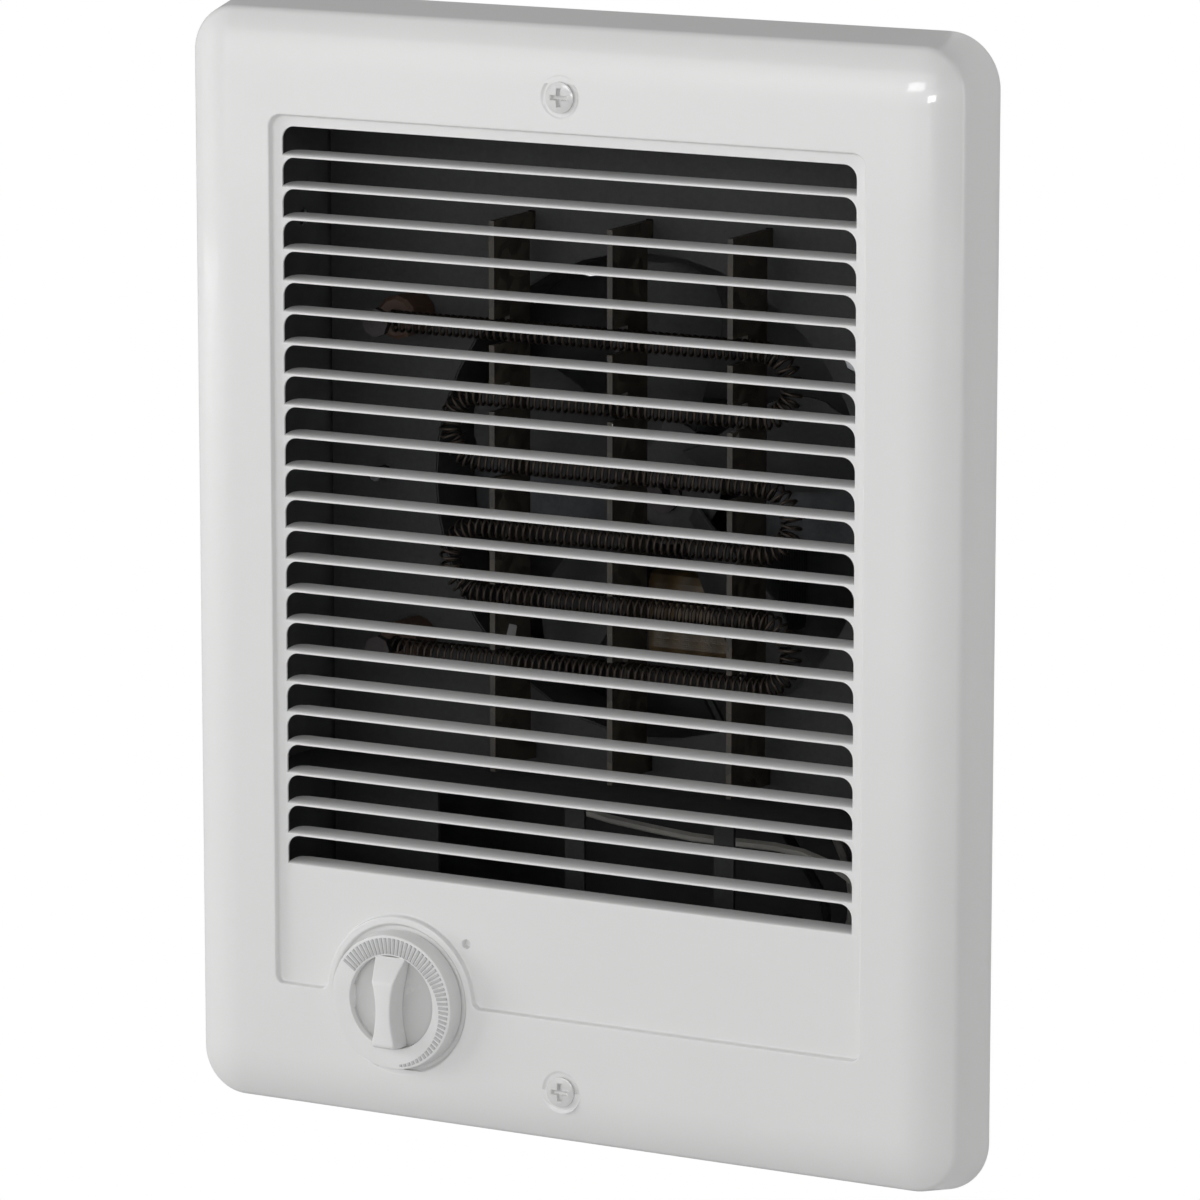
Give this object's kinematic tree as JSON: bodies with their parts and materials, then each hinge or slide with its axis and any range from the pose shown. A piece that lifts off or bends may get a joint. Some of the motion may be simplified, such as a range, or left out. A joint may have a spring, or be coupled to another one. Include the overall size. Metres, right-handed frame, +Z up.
{
  "type": "fan convector heater",
  "caption": "Recessed wall fan heater: louvred white steel grille with a thermostat knob, over a sheet-steel can with open-coil element, axial fan and motor.",
  "frame": {"origin": "centre of the grille's rear rim, on the plane of the finished wall", "axes": "+X to the right as seen from the room, +Y into the wall, +Z up"},
  "size_m": [0.235, 0.121, 0.3048],
  "materials": {
    "white_paint": "smooth semi-gloss powder coat, warm white",
    "white_plastic": "satin moulded, white",
    "galvanised": "galvanised sheet with a fine spangle",
    "black_paint": "matt black, heat-proof",
    "zinc_steel": "bright zinc plate",
    "aluminium": "pressed or die-cast, satin",
    "brass": "plain turned and stamped",
    "bronze": "sintered bearing bronze",
    "mica": "pressed mica board, darkened by heat",
    "ceramic": "brown-glazed porcelain",
    "nichrome": "oxidised resistance wire",
    "laminations": "stacked electrical steel",
    "winding_tape": "varnished tape over the winding",
    "phenolic": "moulded phenolic",
    "red_plastic": "moulded, red",
    "green_steel": "green-dyed zinc plate",
    "black_rubber": "moulded",
    "red_lead": "insulated wire",
    "black_lead": "insulated wire",
    "white_lead": "insulated wire"
  },
  "bodies": {
    "housing": {"grille": "white_paint", "grille_screw_top": "white_paint", "grille_screw_bottom": "white_paint", "wall_can": "galvanised", "cable_clamp": "galvanised", "motor_bracket": "galvanised", "heater_deck": "black_paint", "air_baffle": "black_paint", "thermostat_nut": "zinc_steel", "thermostat_bracket": "zinc_steel", "thermostat_bracket_screw": "zinc_steel", "cable_clamp_screw": "zinc_steel", "deck_screw_top": "zinc_steel", "deck_screw_bottom": "zinc_steel", "element_stud_upper": "zinc_steel", "element_stud_lower": "zinc_steel", "limit_screw_left": "zinc_steel", "limit_screw_right": "zinc_steel", "motor_screw_left": "zinc_steel", "motor_screw_right": "zinc_steel", "motor_bracket_screw_left": "zinc_steel", "motor_bracket_screw_right": "zinc_steel", "motor_bridge_front": "aluminium", "motor_bridge_rear": "aluminium", "thermostat_bushing": "brass", "thermostat_tab_upper": "brass", "thermostat_tab_lower": "brass", "supply_terminal_screw_left": "brass", "supply_terminal_screw_right": "brass", "motor_bearing_front": "bronze", "motor_bearing_rear": "bronze", "mica_board_left": "mica", "mica_board_centre": "mica", "mica_board_right": "mica", "element_bushing_upper": "ceramic", "element_bushing_lower": "ceramic", "heating_element": "nichrome", "motor_stator": "laminations", "motor_winding": "winding_tape", "thermostat_body": "phenolic", "limit_switch_body": "phenolic", "supply_terminal_block": "phenolic", "ground_screw": "green_steel", "lead_grommet": "black_rubber", "lead_thermostat_to_limit": "red_lead", "lead_limit_to_element": "red_lead", "lead_supply_to_thermostat": "black_lead", "motor_lead_left": "black_lead", "lead_element_to_supply": "white_lead", "motor_lead_right": "white_lead"},
    "thermostat_spindle": {"thermostat_knob": "white_plastic", "thermostat_shaft": "zinc_steel"},
    "fan_rotor": {"fan_blades": "black_paint", "fan_hub": "aluminium", "fan_retaining_nut": "zinc_steel", "motor_shaft": "zinc_steel", "motor_rotor": "laminations"},
    "reset_plunger": {"limit_reset_button": "red_plastic"}
  },
  "joints": [
    {"name": "knob_turn", "type": "hinge", "parent": "housing", "child": "thermostat_spindle", "pos_m": [-0.0499, 0, -0.1155], "axis": [0, 1, 0], "range_deg": [-126, 91]},
    {"name": "fan_spin", "type": "hinge", "parent": "housing", "child": "fan_rotor", "pos_m": [0, 0, 0.01855], "axis": [0, 1, 0], "continuous": true},
    {"name": "reset_press", "type": "slide", "parent": "housing", "child": "reset_plunger", "axis": [0, 1, 0], "range_m": [0, 0.0012], "stiffness_N_per_m": 600}
  ]
}
